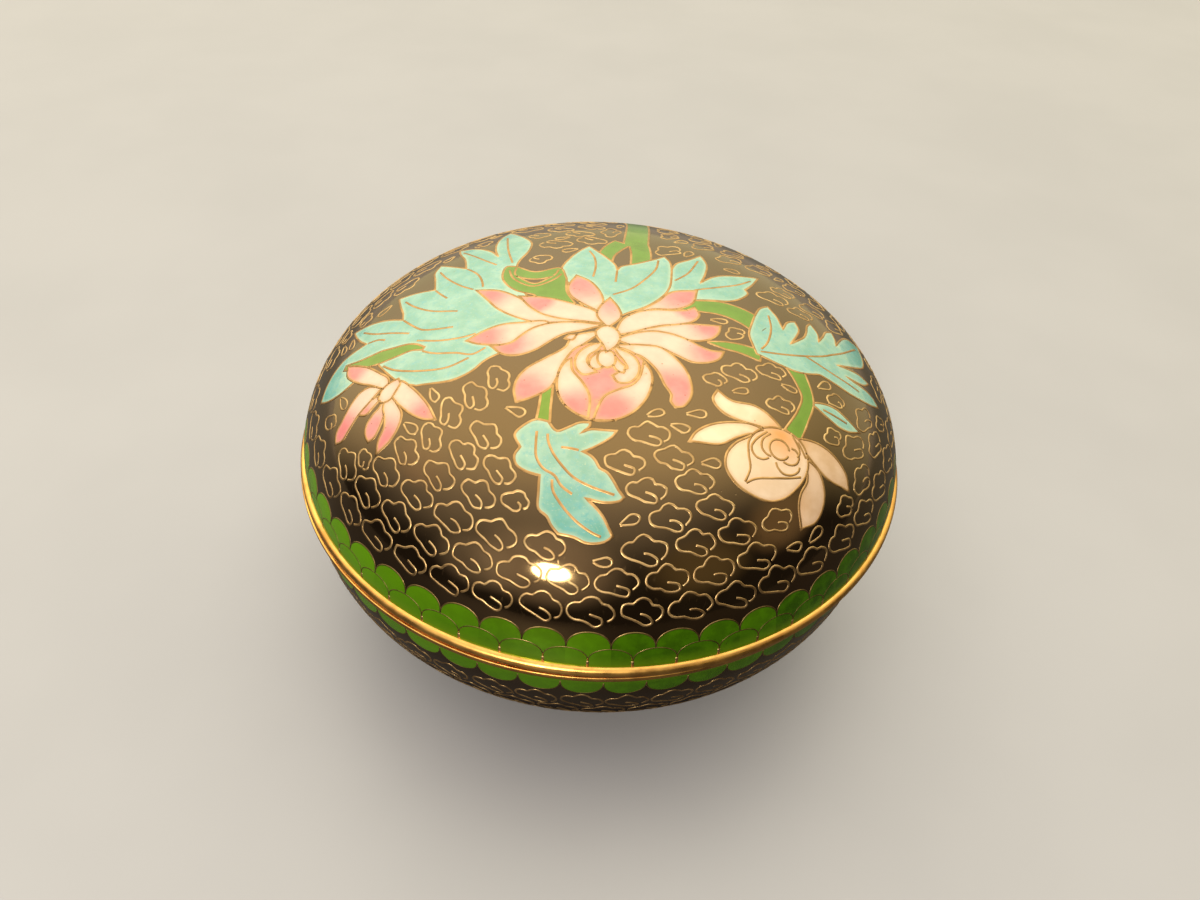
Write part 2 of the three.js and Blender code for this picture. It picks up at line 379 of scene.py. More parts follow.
def flower_on_the_right():
    """A flower in cream enamel, opening to the left."""
    cells = [
        petal([(16, -18), (15.3, -19.6), (15.8, -20.9), (17.2, -22), (19.4, -22.6), (22.5, -22.8)],
              [(26.6, -23.6), (25.6, -22.2), (23.6, -20.4), (21.4, -19.4), (18, -19.4)], kind="cream",
              peach=0.1),
        petal([(12, -27.4), (12.9, -25.8), (14.8, -24.3), (17.7, -23.2), (21.5, -22.8)],
              [(25, -24.6), (21, -24.3), (18.8, -25.4), (16.4, -27)], kind="cream", peach=0.0),
        petal([(38.2, -27.5), (37.3, -25.2), (35.4, -23.6), (32.9, -22.6), (30, -22.5)],
              [(26, -23.6), (29.2, -24.6), (31.2, -26), (33.6, -27.3)], kind="cream"),
        petal([(29.8, -36), (28.9, -32.9), (29.1, -31), (30, -28.9), (29.6, -26.8)],
              [(28, -25), (31.8, -26.7), (33.1, -29), (33.3, -31.4), (32.3, -34.2)], kind="cream"),
        round_petal([(20.6, -24.8), (18.6, -26.3), (17.3, -28.3), (17.3, -30.4), (19, -32.4), (21.7, -33.5),
                     (24.2, -33.6), (26.5, -32.5), (28.3, -30.6), (29.6, -28.4), (30, -26), (28.8, -23.4),
                     (26, -22.2), (22.8, -22.8)], kind="cream", peach=0.35),
    ]
    folds = [
        [(23.1, -22.9), (21.4, -24), (20.5, -25.6), (20.5, -27.5), (20.8, -29.6), (20, -32.1)],
        [(20, -32.1), (21.6, -31), (24.3, -30.2), (26.8, -29.5), (29.2, -28.6)],
        [(23.6, -23), (21.6, -25), (20.9, -26.4), (21.5, -27.6), (22.7, -27.8), (23.9, -27.1)],
        [(24.1, -23.2), (22.6, -24.7), (22.5, -26.1), (23.3, -26.9), (24.4, -27)],
        [(24.6, -27.3), (24.9, -28.3), (25.9, -29.1), (27.3, -28.9), (28.4, -28), (28.6, -26.9)],
        [(26.7, -24.9), (27.7, -24.9), (28.4, -25.8), (28, -27), (26.8, -27.5), (25.5, -27.2)],
        [(27, -22.5), (28.1, -23.9), (28.5, -25.2), (27.9, -26.2)],
        [(28, -23.2), (29, -24.7), (29.8, -26)],
        ring((25.2, -25.6), 1.55),
    ]
    cells[-1].veins = [smooth(fold) for fold in folds]
    return cells


def great_flower():
    """The chrysanthemum in the middle: long petals round a closed cup."""
    cells = [
        # Petals to the left, the lower ones first.
        petal([(-20.9, 2.5), (-17.3, 1.9), (-13.9, -0.3), (-10.5, -3.6), (-6, -5)],
              [(-1.6, -6), (-7, -6.6), (-10.8, -6.6), (-13.9, -5.3), (-16.8, -3.1), (-18.6, -0.7)],
              blush=5.5),
        petal([(-13.8, 0.1), (-9.7, -0.3), (-6, -1.5), (-2, -3.4)],
              [(0, -6.4), (-3.5, -6.1), (-6.8, -5.7), (-9.7, -4.7), (-11.8, -2.9)], blush=5.5, fade=1),
        petal([(-20.6, -10.3), (-18.4, -8.5), (-15.7, -7.1), (-12.6, -6.7), (-9, -6.5)],
              [(-8, -9), (-12, -10.6), (-14, -11.6), (-16, -11.7), (-18.8, -11.2)], blush=5, fade=2.5),
        petal([(-16.7, -11.9), (-13.9, -11.3), (-12.6, -9.8), (-11, -8.1), (-8.6, -6.9), (-5.2, -6.4)],
              [(-0.6, -6.8), (-3.9, -8.4), (-6.4, -9.4), (-8.4, -11.2), (-9.9, -12.7), (-12.3, -13.9),
               (-14.8, -13.7)], blush=5.2, fade=2.5),
        petal([(-12, -22.8), (-12.5, -20.4), (-12.1, -18.3), (-10.9, -16.5), (-8.6, -14.6), (-5.9, -12.2),
               (-5, -9.8)],
              [(-0.4, -8), (-2.4, -10.4), (-4.2, -12.6), (-5.5, -15), (-6.4, -17.6), (-7.4, -20.2),
               (-9.6, -21.9)], blush=5, fade=3),
        petal([(-6.1, -10.4), (-5.6, -9.5)], [(-4.4, -9.3), (-5, -10.6)]),
        # Petals to the right.
        petal([(13.7, 4.7), (9.6, 3.3), (7.4, 0.3), (4.6, -2.6)],
              [(3, -4), (6.6, -1.9), (9.4, -1.5), (11, -0.9), (12.9, 1)], blush=6.5, fade=4),
        petal([(17, -4), (14.6, -4.4), (12, -4.7), (9, -5.6), (5.6, -7)],
              [(3, -8.4), (8, -8), (12.9, -8.6), (15.2, -7.7), (16.5, -6.1)], blush=4.2, fade=2),
        petal([(13.1, -0.2), (11.9, -1.2), (10, -1.7), (6.9, -2), (4.3, -3), (2.2, -5)],
              [(1, -9), (3, -8.4), (5.6, -7), (7.9, -5.9), (10.6, -5.1), (12.7, -4), (13.8, -2)], blush=3.4,
              fade=1.2),
        petal([(17.2, -10), (15.3, -10.2), (13.7, -9.6), (11.9, -8.6), (9.3, -7.6), (6.6, -7.4),
               (3.7, -8.4)],
              [(1.2, -10), (3.6, -11), (7.6, -11), (10, -12.2), (12.5, -13.3), (14.8, -12.9),
               (16.4, -11.8)], blush=4.6, fade=2.5),
        petal([(9.9, -22.2), (11, -22), (12, -20.5), (12.3, -18.3), (11.5, -15.2), (9.8, -12.7), (7.8, -11),
               (5, -10.8)],
              [(1.4, -11.2), (2.7, -12.5), (4.9, -13.2), (6.4, -14.6), (7.6, -16.4), (8.4, -18.4),
               (9.4, -20.2), (9.3, -21.3)], blush=6.2, fade=2.6),
        # Petals that stand up behind the middle.
        petal([(-5.4, 6.4), (-6.5, 3), (-6, 0.6), (-4.4, -1.2)],
              [(-1.5, -3.4), (-0.9, -0.6), (-1.7, 2.4), (-3.2, 4.8)], blush=6, fade=5),
        petal([(0.1, 0.4), (-1.3, -2), (-1.7, -4.4)], [(0, -7.4), (1.9, -4.6), (1.4, -2)], blush=3.6,
              fade=4),
    ]

    # The closed cup: two outer petals round a pink throat.
    throat = round_petal(
        [(-4.2, -12.2), (-5.6, -14.6), (-6.5, -17.5), (-6.4, -20.9), (-5.2, -23.3), (-3.1, -24.9),
         (-1.2, -25.6), (1.6, -25.4), (4, -24), (5.7, -21.7), (6.6, -18.8), (6.6, -16.7), (5.6, -14.4),
         (3.4, -12.4), (0.4, -11.4), (-2.2, -11.2)],
        tip=(0, -18.5), blush=30,
    )
    left = petal([(-1.9, -25.3), (-3.3, -24.8), (-5.2, -23.3), (-6.4, -20.9), (-6.5, -17.5), (-5.6, -15.2)],
                 [(-4.9, -14.6), (-4.6, -16.8), (-3, -19.2), (-1.9, -21.7)], blush=3.4, fade=2.5,
                 tip=(-3.8, -24.4))
    right = petal([(-1.2, -25.6), (1.6, -25.4), (4, -24), (5.7, -21.7), (6.6, -18.8), (6.5, -16.3)],
                  [(5.4, -14.4), (4.9, -17.4), (3.9, -19), (2, -20.1), (0.2, -21.4), (-0.6, -23.2)],
                  blush=3.6, fade=2.5, tip=(0.8, -24.4))
    scrolls = [
        petal([(-1.2, -17.1), (-3, -17.7), (-4.1, -16.5), (-4.3, -14.6), (-3.6, -12.8), (-1.8, -11.3)],
              [(-0.5, -11), (-1.3, -12.6), (-2.4, -13.8), (-2.6, -15.2), (-1.8, -16.3)]),
        petal([(1.1, -17.6), (1.9, -18.8), (3.4, -18.7), (4.5, -17.4), (4.8, -15.2), (3.8, -13.2),
               (1.6, -11.9)], [(0.6, -11), (1.7, -13.2), (2.6, -14.6), (3.1, -16), (2.2, -16.6)]),
        petal([(-0.9, -12.7), (-2.2, -14.5), (-2.2, -16), (-1.1, -16.6)], [(-0.3, -16), (-1, -14.6)]),
        petal([(1.1, -13.3), (1, -15), (1.6, -16.5), (2.6, -16.9)], [(2.8, -15.6), (2, -14.7)]),
    ]
    knob = round_petal([(-0.8, -12.8), (-1.2, -14.4), (-0.7, -15.7), (0.3, -16.1), (1.2, -15.4),
                        (1.4, -14.2), (0.9, -12.8)])
    drop = petal([(0, -12.9), (-0.6, -11.2), (-1.5, -9.6), (-1.7, -8.4), (-1.1, -7.4), (0, -6.9),
                  (1.3, -7.7), (1.9, -9.2), (1.6, -11), (0.7, -12.3)])
    return [*cells, throat, left, right, *scrolls, knob, drop]


TILE_STEP = 0.9  # mm between the points inside a coloured cell, so that it follows the dome
RIM_CLEARANCE = 0.4  # of that step, between those points and the outlines


def search_tree(points):
    """A tree that finds the nearest of some plan points."""
    tree = KDTree(len(points))
    for index, (x, y) in enumerate(points):
        tree.insert((x, y, 0), index)
    tree.balance()
    return tree


def grid_inside(cells):
    """Points of an even grid inside the cells, clear of their outlines."""
    steps = np.arange(-lid.length, lid.length, TILE_STEP)
    rows = np.arange(-lid.length, lid.length, TILE_STEP * math.sqrt(3) / 2)
    grid = np.array([(x + (row % 2) * TILE_STEP / 2, y) for row, y in enumerate(rows) for x in steps])
    kept = np.zeros(len(grid), bool)
    for cell in cells:
        low, high = cell.polygon.min(axis=0), cell.polygon.max(axis=0)
        near = np.flatnonzero(((grid > low) & (grid < high)).all(axis=1))
        kept[near] |= inside(grid[near], cell.polygon)
    outlines = search_tree(np.vstack([cell.polygon for cell in cells]))
    return [point for point in grid[kept] if outlines.find((*point, 0))[2] > RIM_CLEARANCE * TILE_STEP]


def anticlockwise(polygon):
    x, y = polygon.T
    area = np.sum(x * np.roll(y, -1) - np.roll(x, -1) * y)
    return polygon if area > 0 else polygon[::-1]


class Mosaic:
    """The plan cut into triangles, each belonging to the topmost cell that covers it."""

    def __init__(self, cells):
        self.cells = cells
        points, polygons = [], []
        for cell in cells:
            polygons.append(list(range(len(points), len(points) + len(cell.polygon))))
            points.extend(anticlockwise(cell.polygon))
        points.extend(grid_inside(cells))
        inside_only, closest, keep_names = 1, 1e-5, True
        corners = [Vector(point) for point in points]
        found = delaunay_2d_cdt(corners, [], polygons, inside_only, closest, keep_names)
        self.points = np.array([tuple(p) for p in found[0]])
        covered = [(triangle, max(names)) for triangle, names in zip(found[2], found[5]) if names]
        self.triangles = [triangle for triangle, _ in covered]
        self.owners = [owner for _, owner in covered]

    def borders(self):
        """Lines between cells of different families, as closed or open paths in the plan."""
        sides = {}
        for triangle, owner in zip(self.triangles, self.owners):
            for a, b in zip(triangle, (*triangle[1:], triangle[0])):
                sides.setdefault((min(a, b), max(a, b)), []).append(self.cells[owner].family)
        beside = {}
        for (a, b), families in sides.items():
            if len(families) == 1 or families[0] != families[1]:
                beside.setdefault(a, set()).add(b)
                beside.setdefault(b, set()).add(a)
        paths = []

        def walk(start, step):
            path = [start, step]
            beside[start].discard(step)
            beside[step].discard(start)
            while path[-1] != start and len(beside[path[-1]]) == 1 and path[-1] not in joints:
                ahead = beside[path[-1]].pop()
                beside[ahead].discard(path[-1])
                path.append(ahead)
            paths.append((self.points[path], path[-1] == start))

        joints = {point for point, others in beside.items() if len(others) != 2}
        for start in sorted(joints):
            while beside[start]:
                walk(start, min(beside[start]))
        for start in sorted(beside):
            if beside[start]:
                walk(start, min(beside[start]))
        return paths

    def veins(self):
        """The wires inside the cells, where no cell above covers them."""
        paths = []
        for index, cell in enumerate(self.cells):
            for vein in cell.veins:
                seen = np.ones(len(vein), bool)
                for above in self.cells[index + 1:]:
                    seen &= ~inside(vein, above.polygon)
                for run in np.split(np.arange(len(vein)), np.flatnonzero(np.diff(seen)) + 1):
                    if seen[run[0]] and len(run) > 1:
                        paths.append(vein[run])
        return paths


# ---------------------------------------------------------------- meshes


class Piece:
    """One piece of the box under construction. Points are in mm; faces carry a material number."""

    def __init__(self):
        self.points, self.normals, self.plans = [], [], []
        self.faces, self.slots, self.hidden = [], [], []
        self.marks = {}
        self.count = 0

    def add(self, points, faces, plan, normals=None, hidden=None, **marks):
        """Adds a part. hidden says which faces lie in the enamel; marks are numbers kept at each point."""
        self.faces.extend(tuple(self.count + index for index in face) for face in faces)
        self.slots.extend([0] * len(faces))
        self.hidden.extend(hidden if hidden is not None else [False] * len(faces))
        self.points.append(np.asarray(points, float))
        self.normals.append(np.zeros((len(points), 3)) if normals is None else np.asarray(normals))
        self.plans.append(np.asarray(plan, float))
        for name, values in marks.items():
            self.marks.setdefault(name, []).append(np.broadcast_to(values, len(points)))
        self.count += len(points)

    def make(self, name, materials, record_slot, node=None, own_normals=False):
        mesh = bpy.data.meshes.new(name)
        mesh.from_pydata(np.vstack(self.points) * MM, [], self.faces)
        mesh.polygons.foreach_set("material_index", self.slots)
        mesh.polygons.foreach_set("use_smooth", [True] * len(self.faces))
        for material in materials:
            mesh.materials.append(material)
        for mark, values in self.marks.items():
            layer = mesh.attributes.new(mark, "FLOAT", "POINT")
            layer.data.foreach_set("value", np.concatenate(values).astype(np.float32))
        self.lay_out(mesh)
        if own_normals:
            mesh.normals_split_custom_set_from_vertices(np.vstack(self.normals))
        piece = bpy.data.objects.new(name, mesh)
        bpy.context.collection.objects.link(piece)
        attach(piece, "root")
        if node:
            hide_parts(node)
        return piece

    def lay_out(self, mesh):
        """Texture places straight from the plan; the faces inside the enamel share one small corner."""
        plan = np.vstack(self.plans)
        low, high = plan.min(axis=0), plan.max(axis=0)
        margin, corner = 0.02, 0.01
        flat = margin + (1 - 2 * margin) * (plan - low) / (high - low).max()
        corners = np.empty(len(mesh.loops), int)
        mesh.loops.foreach_get("vertex_index", corners)
        places = flat[corners]
        tucked = np.repeat(self.hidden, [len(face) for face in self.faces])
        places[tucked] = corner / 2 + corner * places[tucked]
        layer = mesh.uv_layers.new(name="OFBake")
        layer.uv.foreach_set("vector", places.astype(np.float32).ravel())


def lathe(profile, centre, segments):
    """Points and faces of a turned solid.

    The profile of (r, z) points either closes on itself, or starts and ends on the axis.
    """
    profile = np.asarray(profile, float)
    around = heading(full_turn(segments))
    points, rows = [], []
    for r, z in profile:
        if r == 0:
            rows.append([len(points)] * segments)
            points.append((*centre, z))
        else:
            rows.append(list(range(len(points), len(points) + segments)))
            points.extend((x, y, z) for x, y in centre + r * around)
    closed = profile[0][0] > 0
    faces = []
    for upper, lower in zip(rows, rows[1:] + rows[:1] if closed else rows[1:]):
        for k in range(segments):
            after = (k + 1) % segments
            face = (upper[k], lower[k], lower[after], upper[after])
            faces.append(tuple(dict.fromkeys(face)))
    return np.array(points), faces


SHELL_SIDES = 288
SHELL_STEP = 0.8  # mm between the rings of points on a shell
LINING_SCALE, LINING_SHIFT = 0.25, 1.25  # the inner face's plan: its size, and its place in outer lengths


def shell_body(outer, inner, name, node):
    """The black shell with its plain inner face, whose smaller plan lies beside the outer face's plan."""
    profile, plan_rows = [], []
    faces_of_shell = ((outer, 1, 1, 0.0), (inner, -1, LINING_SCALE, outer.length * LINING_SHIFT))
    for shell, order, scale, shift in faces_of_shell:
        for run in np.linspace(0, shell.length, round(shell.length / SHELL_STEP) + 1)[::order]:
            profile.append((shell.radius_at(run), shell.height_at(run)))
            plan_rows.append((run * scale, shift))
    profile[0] = (0, profile[0][1])
    profile[-1] = (0, profile[-1][1])
    if outer.facing < 0:
        profile, plan_rows = profile[::-1], plan_rows[::-1]
    points, faces = lathe(profile, outer.centre, SHELL_SIDES)
    around = heading(full_turn(SHELL_SIDES))
    plan = []
    for (run, shift), (r, _) in zip(plan_rows, profile):
        plan.append(around * run + (shift, 0) if r > 0 else [(shift, 0)])
    piece = Piece()
    piece.add(points, faces, np.vstack(plan))
    shown = round(outer.length / SHELL_STEP) * SHELL_SIDES
    lined = len(faces) - shown - SHELL_SIDES
    piece.slots = [0] * shown + [1] * (SHELL_SIDES + lined)
    piece.hidden = [False] * shown + [True] * SHELL_SIDES + [False] * lined
    if outer.facing < 0:
        piece.slots.reverse()
        piece.hidden.reverse()
    piece.make(name, [ground_finish, lining_finish], "black_enamel", node)


WIRE_WIDTH = 0.41
SPRAY_WIRE_WIDTH = 0.5
# Section of a wire, from side to side: places across it in wire widths, and heights over the enamel in mm.
WIRE_SECTION = ((-0.5, -0.06), (-0.34, 0.035), (0.34, 0.035), (0.5, -0.06))
END_SINK = 0.08  # a bare end of a wire goes this far into the enamel
LEAST_TURN = 0.45  # keeps a wire from growing wide at a sharp corner


def lay_wire(piece, shell, path, closed=False, width=WIRE_WIDTH, bare_ends=False):
    """A drawn wire let into the enamel along a path of the plan. Bare ends dive under the enamel."""
    path = np.asarray(path, float)
    if closed:
        path = path[:-1] if np.allclose(path[0], path[-1]) else path
    points, up = shell.place(path)
    before = points - np.roll(points, 1, axis=0)
    after = np.roll(points, -1, axis=0) - points
    if not closed:
        before[0], after[-1] = after[0], before[-1]
    ahead = unit(before) + unit(after)
    turn = np.maximum(np.linalg.norm(ahead, axis=1) / 2, LEAST_TURN)[:, None]
    wide = unit(np.cross(up, ahead)) * width / turn
    sink = np.zeros((len(path), 1))
    if bare_ends:
        sink[[0, -1]] = END_SINK
    rows = [points + wide * place + up * (lift - sink) for place, lift in WIRE_SECTION]
    count, sides = len(path), len(WIRE_SECTION)
    faces, hidden = [], []
    for i in range(count if closed else count - 1):
        j = (i + 1) % count
        for k in range(sides):
            m = (k + 1) % sides
            faces.append((i * sides + k, j * sides + k, j * sides + m, i * sides + m))
            hidden.append(m == 0)
    if not closed:
        last = (count - 1) * sides
        faces += [tuple(range(sides)), tuple(last + k for k in reversed(range(sides)))]
        hidden += [False, False]
    piece.add(np.stack(rows, axis=1).reshape(-1, 3), faces, np.repeat(path, sides, axis=0), hidden=hidden)


TILE_LIFT = 0.02  # the coloured enamel stands this far over the black, and TILE_DEPTH into it
TILE_DEPTH = 0.12


def rim_of(triangles):
    """The directed edges round a sheet of triangles."""
    directed = {(a, b) for t in triangles for a, b in zip(t, (*t[1:], t[0]))}
    return sorted((a, b) for a, b in directed if (b, a) not in directed)


def lay_tile(piece, shell, plan, triangles, **marks):
    """A cell of coloured enamel: a closed plate that follows the shell."""
    top, normals = shell.place(plan, TILE_LIFT)
    bottom, _ = shell.place(plan, -TILE_DEPTH)
    count = len(plan)
    triangles = [t if shell.facing > 0 else t[::-1] for t in map(tuple, triangles)]
    rim = rim_of(triangles)
    faces = triangles + [tuple(count + v for v in reversed(t)) for t in triangles]
    faces += [(a, count + a, count + b, b) for a, b in rim]
    hidden = [False] * len(triangles) + [True] * (len(triangles) + len(rim))
    marks = {name: np.tile(values, 2) for name, values in marks.items()}
    piece.add(np.vstack([top, bottom]), faces, np.vstack([plan, plan]), np.vstack([normals, -normals]),
              hidden, **marks)


def distance_to_rim(plan, triangles, most):
    """How far each point of a cell lies from the cell's border, as a share of most."""
    rim = search_tree(plan[sorted({a for a, _ in rim_of(triangles)})])
    return np.array([min(1, rim.find((*point, 0))[2] / most) for point in plan])


# ---------------------------------------------------------------- borders of scales

SCALES = 52  # round each shell
SCALE_ROWS = 7  # of points down a scale
ARC_POINTS = 14  # along the round edge of a scale
FULLNESS = 0.8  # under 1 is fuller than an ellipse
SCALE_GAP = 0.05  # in mm, between the scales and the shell's edge
FOOT_RISE = 1.25  # in mm: the second row of arcs stands on short feet of this height
TIP_WIRE, SECOND_WIRE, FOOT_WIRE = 0.25, 0.2, 0.5  # widths in mm


def arc_of_scale(middle, half, base, rise):
    """A round arc in (angle, run) from base over base - rise and back, as points in the plan."""
    turn = np.linspace(0, math.pi, ARC_POINTS + 1)
    run = base - rise * np.sin(turn).clip(0) ** FULLNESS
    return run[:, None] * heading(middle - half * np.cos(turn))


def polar_tile(piece, shell, angles, tops, bottom, rows, **marks):
    """A ring of enamel between the run tops (one for each angle) and the run bottom."""
    share = np.linspace(0, 1, rows + 1)
    run = tops[:, None] * (1 - share) + bottom * share
    plan = (run[..., None] * heading(angles)[:, None]).reshape(-1, 2)
    wide = rows + 1
    triangles = []
    for i in range(len(angles)):
        j = (i + 1) % len(angles)
        for k in range(rows):
            a, b, c, d = i * wide + k, i * wide + k + 1, j * wide + k + 1, j * wide + k
            triangles += [(a, b, c), (a, c, d)]
    marks = {name: values(plan) for name, values in marks.items()}
    lay_tile(piece, shell, plan, triangles, **marks)


def toned(seed, count):
    """A steady random tone for each of count scales."""
    draw = random.Random(seed)
    return np.array([draw.uniform(0, 1) for _ in range(count)])


def scale_border(shell, name, tip, valley, second_row=False):
    """The band of green scales at a shell's edge. tip and valley are depths in mm from the edge."""
    half = math.pi / SCALES
    turn = np.linspace(0, math.pi, ARC_POINTS, endpoint=False)
    middles = 2 * half * np.arange(1, SCALES + 1)
    angles = (middles[:, None] - half * np.cos(turn)).ravel()
    base, rise = shell.length - valley, tip - valley
    tops = np.tile(base - rise * np.sin(turn) ** FULLNESS, SCALES)
    tones = toned(name, SCALES)

    def tone(plan):
        """Each scale has a tone of its own, and painted shade makes the green deeper towards the right and
        lighter towards the left.
        """
        angle = np.arctan2(plan[:, 1], plan[:, 0]) - half
        own = tones[np.floor(angle / (2 * half)).astype(int) % SCALES]
        return 0.3 * own + 0.7 * np.clip(0.36 - 0.8 * plan[:, 0] / shell.length, 0, 1)

    def depth(plan):
        return np.clip((shell.length - np.hypot(*plan.T)) / tip, 0, 1)

    piece = Piece()
    polar_tile(piece, shell, angles, tops, shell.length - SCALE_GAP, SCALE_ROWS, tone=tone, depth=depth)
    piece.make(f"{name}_scales", [scale_finish], "green_enamel", own_normals=True)

    lines, feet = Piece(), Piece()
    for k in range(SCALES):
        middle = (2 * k + 2) * half
        lay_wire(lines, shell, arc_of_scale(middle, half, base, rise), width=TIP_WIRE)
        if second_row:
            lower = arc_of_scale(middle - half, half, shell.length - FOOT_RISE, valley - FOOT_RISE)
            lay_wire(lines, shell, lower, width=SECOND_WIRE)
            run = np.linspace(shell.length, shell.length - FOOT_RISE, 4)
            lay_wire(feet, shell, np.outer(run, heading(middle)), width=FOOT_WIRE)
    if second_row:
        feet.make(f"{name}_scale_feet", [wire_finish], "gilt_brass")
    lines.make(f"{name}_scale_wires", [dull_wire_finish], "gilt_brass")


# ---------------------------------------------------------------- the ground of clouds

# One bent wire, from the hook inside the cloud round its three lobes and back, in mm, with the cloud upright.
CLOUD = [(-0.35, -0.35), (0.7, -0.65), (1.5, -1.05), (1.7, -1.6), (1.35, -2.05), (0.6, -2.1),
         (-0.35, -1.75), (-1.2, -1.35), (-2.1, -1.1), (-2.85, -0.65), (-3.1, 0.1), (-2.8, 0.8), (-2.1, 1.1),
         (-1.4, 1.15), (-0.85, 1.7), (0.0, 2.05), (0.85, 1.7), (1.4, 1.15), (2.3, 1.05), (3.0, 0.5),
         (3.15, -0.3), (2.75, -0.95), (2.0, -1.4)]
SMALL_CLOUD = [(0.1, -0.1), (0.8, -0.4), (1.0, -0.95), (0.4, -1.35), (-0.6, -1.15), (-1.5, -0.75),
               (-1.75, 0.0), (-1.3, 0.6), (-0.6, 0.75), (-0.1, 1.25), (0.7, 1.2), (1.1, 0.7), (1.7, 0.3),
               (1.75, -0.4), (1.1, -0.8)]
DROP = [(-1.75, -0.1), (-0.6, 0.45), (0.6, 0.75), (1.45, 0.45), (1.55, -0.25), (0.9, -0.7), (-0.3, -0.55),
        (-1.75, -0.1)]
CLOUD_PITCH = 6.45  # along a row
ROW_PITCH = 3.95
WIRE_CLEARANCE = 0.45
TREMOR = 0.09  # how far a hand-bent wire strays from its shape
ATTEMPTS = 14  # at finding room for a cloud of a row
# What fills the gaps between the rows: shape, attempts, range of sizes and swing.
FILLERS = (
    (CLOUD, 2500, (0.84, 0.95), 0.2),
    (SMALL_CLOUD, 900, (0.9, 1.1), 0.5),
    (DROP, 2600, (0.8, 1.0), 0.5),
)
LEAN_START, LEAN_REACH = 46, 12  # clouds begin to lean 46 mm from the crown, and lean fully 12 mm higher
BENT_STEP = 0.36  # mm between the points of a cloud's wire


class Room:
    """Which places of a plan are still free, on a fine square grid."""

    CELL = 0.2  # side of a square, in mm

    def __init__(self, reach):
        self.reach = reach
        self.size = math.ceil(2 * reach / self.CELL) + 1
        self.taken = np.zeros((self.size, self.size), bool)
        half = math.ceil(WIRE_CLEARANCE / self.CELL)
        x, y = np.meshgrid(np.arange(-half, half + 1), np.arange(-half, half + 1))
        near = np.hypot(x, y) * self.CELL <= WIRE_CLEARANCE
        self.disc = np.column_stack([x[near], y[near]])

    def index(self, points):
        spots = np.rint((np.asarray(points) + self.reach) / self.CELL).astype(int)
        return np.clip(spots, 0, self.size - 1)

    def take_line(self, points):
        spots = (self.index(points)[:, None] + self.disc).reshape(-1, 2)
        spots = np.clip(spots, 0, self.size - 1)
        self.taken[spots[:, 1], spots[:, 0]] = True

    def take_shape(self, polygon):
        low, high = self.index(polygon.min(axis=0)), self.index(polygon.max(axis=0))
        x, y = np.meshgrid(np.arange(low[0], high[0] + 1), np.arange(low[1], high[1] + 1))
        spots = np.column_stack([x.ravel(), y.ravel()])
        covered = spots[inside(spots * self.CELL - self.reach, polygon)]
        self.taken[covered[:, 1], covered[:, 0]] = True
        self.take_line(polygon)

    def is_free(self, points, nearest=0.0, farthest=math.inf):
        run = np.hypot(*points.T)
        if run.min() < nearest or run.max() > farthest:
            return False
        spots = self.index(points)
        return not self.taken[spots[:, 1], spots[:, 0]].any()


def filled(line):
    """The points of a bent wire and points across its inside, to keep other wires out of it."""
    middle = line.mean(axis=0)
    return np.vstack([line, (line + middle) / 2, middle])


def put_down(shape, shell, run, angle, draw, size, upright, lean):
    """A wire shape bent by hand, laid on the plan at a run and an angle, its top towards the crown."""
    points = [[number * size + draw.uniform(-TREMOR, TREMOR) for number in point] for point in shape]
    if shape is DROP:
        points[-1] = points[0]
    cos, sin = math.cos(lean), math.sin(lean)
    across, along = (smooth(points, step=BENT_STEP) @ np.array([[cos, sin], [-sin, cos]])).T
    outward = heading(angle)
    right = np.array([-outward[1], outward[0]])
    stretch = run / max(shell.radius_at(run), 1e-6)
    return outward * run + np.outer(across * stretch, right) - np.outer(along * upright, outward)


def lean_at(run, angle):
    """How far a cloud leans from the line to the crown. Those well up the lid lean over, as in the photo."""
    from_front = math.remainder(angle + math.pi / 2, 2 * math.pi)
    lean = 0.85 * min(from_front, 2) if from_front > 0 else min(-0.55 * from_front, 0.4)
    return -lean * min(max((LEAN_START - run) / LEAN_REACH, 0), 1)


def cover_with_clouds(shell, room, rows, nearest, farthest, seed, upright):
    """Rows of clouds round a shell, whole ones only, then smaller shapes in the places left over."""
    draw = random.Random(seed)
    lines = []

    def settle(shape, run, angle, size, lean):
        line = put_down(shape, shell, run, angle, draw, size, upright, lean)
        if not room.is_free(filled(line), nearest, farthest):
            return False
        room.take_line(filled(line))
        lines.append(line)
        return True

    for row, middle in enumerate(rows):
        count = max(3, round(2 * math.pi * shell.radius_at(middle) / CLOUD_PITCH))
        for k in range(count):
            angle = -math.pi / 2 + (2 * k + row % 2) * math.pi / count
            for attempt in range(ATTEMPTS):  # each strays further from the row and is smaller
                shift = draw.uniform(-1, 1) * (0.12 + 0.1 * attempt)
                run = middle + draw.uniform(-1, 1) * (0.1 + 0.06 * attempt)
                size = draw.uniform(0.9, 0.98) - 0.012 * attempt - (0.06 if middle < 42 else 0)
                lean = draw.uniform(-0.12, 0.12) + lean_at(middle, angle)
                if settle(CLOUD, run, angle + shift / max(shell.radius_at(run), 2), size, lean):
                    break
    for shape, attempts, sizes, swing in FILLERS:
        for _ in range(attempts):
            run = math.sqrt(draw.uniform(nearest**2, farthest**2))
            angle = draw.uniform(-math.pi, math.pi)
            lean = draw.uniform(-swing, swing) + lean_at(run, angle)
            settle(shape, run, angle, draw.uniform(*sizes), lean)
    return lines


# ---------------------------------------------------------------- finishes


